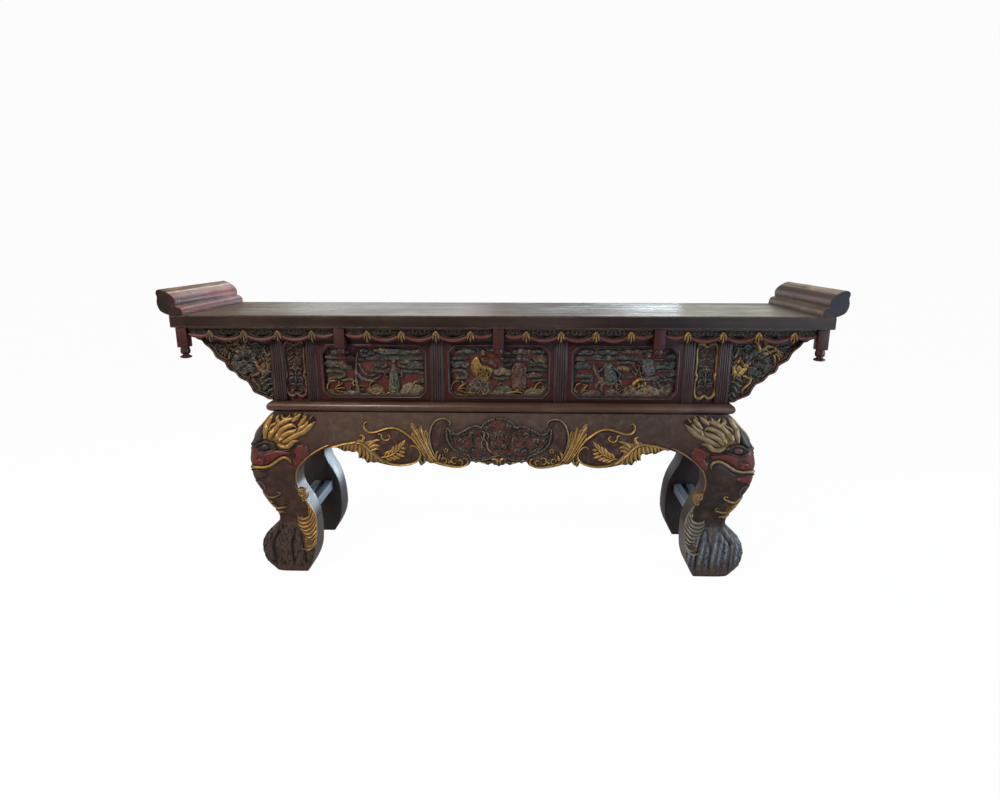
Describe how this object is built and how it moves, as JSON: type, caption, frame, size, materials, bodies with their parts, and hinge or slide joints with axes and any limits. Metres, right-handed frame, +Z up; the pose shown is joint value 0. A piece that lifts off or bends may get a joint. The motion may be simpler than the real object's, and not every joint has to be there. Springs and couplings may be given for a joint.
{
  "type": "altar table",
  "caption": "Long carved altar table with scrolled ends, a panelled frieze, pierced wings, shaped aprons and bowed legs with beast masks and clawed feet.",
  "frame": {"origin": "on the floor, under the middle of the table", "axes": "+Z up, +X along the length to the right of someone facing the front, front faces -Y"},
  "size_m": [2.4782, 0.52, 1.1203],
  "materials": {
    "dark_lacquer": "worn dark brown lacquer over carved wood, satin, rubbed lighter on the edges",
    "top_lacquer": "brown lacquered plank, glossy where rubbed, greyed by use",
    "red_lacquer": "aged red lacquer, satin, with pale wear along the arrises",
    "carved_pigment": "carved wood with dulled green and blue-grey paint and old gilding",
    "gilt_carving": "carved wood, partly gilt, rubbed through to red and brown",
    "bare_wood": "unfinished aged wood, matt"
  },
  "bodies": {
    "root": {"back_board": "bare_wood", "carved_board_centre": "carved_pigment", "carved_board_left": "carved_pigment", "carved_board_right": "carved_pigment", "end_board_left": "dark_lacquer", "end_board_right": "dark_lacquer", "front_apron": "dark_lacquer", "front_leg_left": "dark_lacquer", "front_leg_right": "dark_lacquer", "front_top_rail": "dark_lacquer", "hanging_post_1": "red_lacquer", "hanging_post_2": "red_lacquer", "hanging_post_3": "red_lacquer", "hanging_post_4": "red_lacquer", "hanging_post_5": "red_lacquer", "inner_stile_left": "dark_lacquer", "inner_stile_right": "dark_lacquer", "lotus_drop_1": "red_lacquer", "lotus_drop_2": "red_lacquer", "lotus_drop_3": "red_lacquer", "lotus_drop_4": "red_lacquer", "lotus_drop_5": "red_lacquer", "middle_stile_left": "dark_lacquer", "middle_stile_right": "dark_lacquer", "narrow_panel_left": "carved_pigment", "narrow_panel_right": "carved_pigment", "outer_stile_left": "dark_lacquer", "outer_stile_right": "dark_lacquer", "panel_frame_centre": "red_lacquer", "panel_frame_left": "red_lacquer", "panel_frame_right": "red_lacquer", "rear_apron": "dark_lacquer", "rear_bracket_left": "dark_lacquer", "rear_bracket_right": "dark_lacquer", "rear_leg_left": "dark_lacquer", "rear_leg_right": "dark_lacquer", "rear_stile_left": "dark_lacquer", "rear_stile_right": "dark_lacquer", "rear_top_rail": "dark_lacquer", "scroll_end_left": "red_lacquer", "scroll_end_right": "red_lacquer", "side_apron_left": "dark_lacquer", "side_apron_right": "dark_lacquer", "side_stretcher_left_1": "bare_wood", "side_stretcher_left_2": "bare_wood", "side_stretcher_right_1": "bare_wood", "side_stretcher_right_2": "bare_wood", "top_batten_left": "bare_wood", "top_batten_right": "bare_wood", "top_board": "top_lacquer", "valance_1": "gilt_carving", "valance_2": "gilt_carving", "valance_3": "gilt_carving", "valance_4": "gilt_carving", "waist_front": "dark_lacquer", "waist_left": "dark_lacquer", "waist_rear": "dark_lacquer", "waist_right": "dark_lacquer", "wing_left": "carved_pigment", "wing_right": "carved_pigment"}
  },
  "joints": []
}
